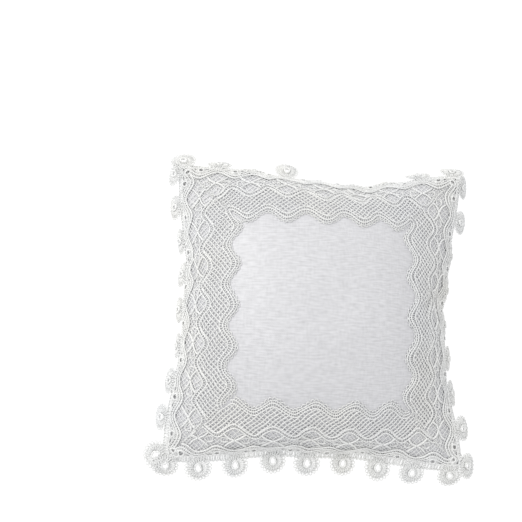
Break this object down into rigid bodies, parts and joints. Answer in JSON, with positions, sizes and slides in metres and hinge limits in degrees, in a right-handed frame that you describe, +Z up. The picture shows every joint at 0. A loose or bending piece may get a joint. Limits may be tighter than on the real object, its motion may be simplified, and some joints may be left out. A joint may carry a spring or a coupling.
{
  "type": "ring bearer pillow",
  "caption": "Square white satin wedding ring pillow, softly stuffed, with a mitred corded lace frame on its face and crocheted ring tabs all round the seam.",
  "frame": {"origin": "centre of the flat area under the pillow that it rests on", "axes": "+Z up, from the back to the laced face; +X and +Y along the sides, with the near side at -Y"},
  "size_m": [0.2438, 0.2415, 0.073],
  "materials": {
    "satin": "white satin with fine slubs and a soft sheen",
    "lace_cotton": "matt white cotton cord and buttonhole thread",
    "sewing_thread": "white polyester sewing thread",
    "casing": "plain cotton cloth",
    "filling": "lofted polyester fibre"
  },
  "bodies": {
    "root": {"fibre_filling": "filling", "insert_casing_front": "casing", "insert_casing_back": "casing", "satin_front_panel": "satin", "satin_back_panel": "satin", "closing_stitches": "sewing_thread", "mitre_stitching": "sewing_thread", "lace_tacking_stitches": "sewing_thread", "lace_strip_near": "lace_cotton", "lace_strip_right": "lace_cotton", "lace_strip_far": "lace_cotton", "lace_strip_left": "lace_cotton", "gap_rings_near": "lace_cotton", "gap_rings_right": "lace_cotton", "gap_rings_far": "lace_cotton", "gap_rings_left": "lace_cotton", "edge_braid_near": "lace_cotton", "edge_braid_right": "lace_cotton", "edge_braid_far": "lace_cotton", "edge_braid_left": "lace_cotton", "tab_rings_near": "lace_cotton", "tab_rings_right": "lace_cotton", "tab_rings_far": "lace_cotton", "tab_rings_left": "lace_cotton"}
  },
  "joints": []
}
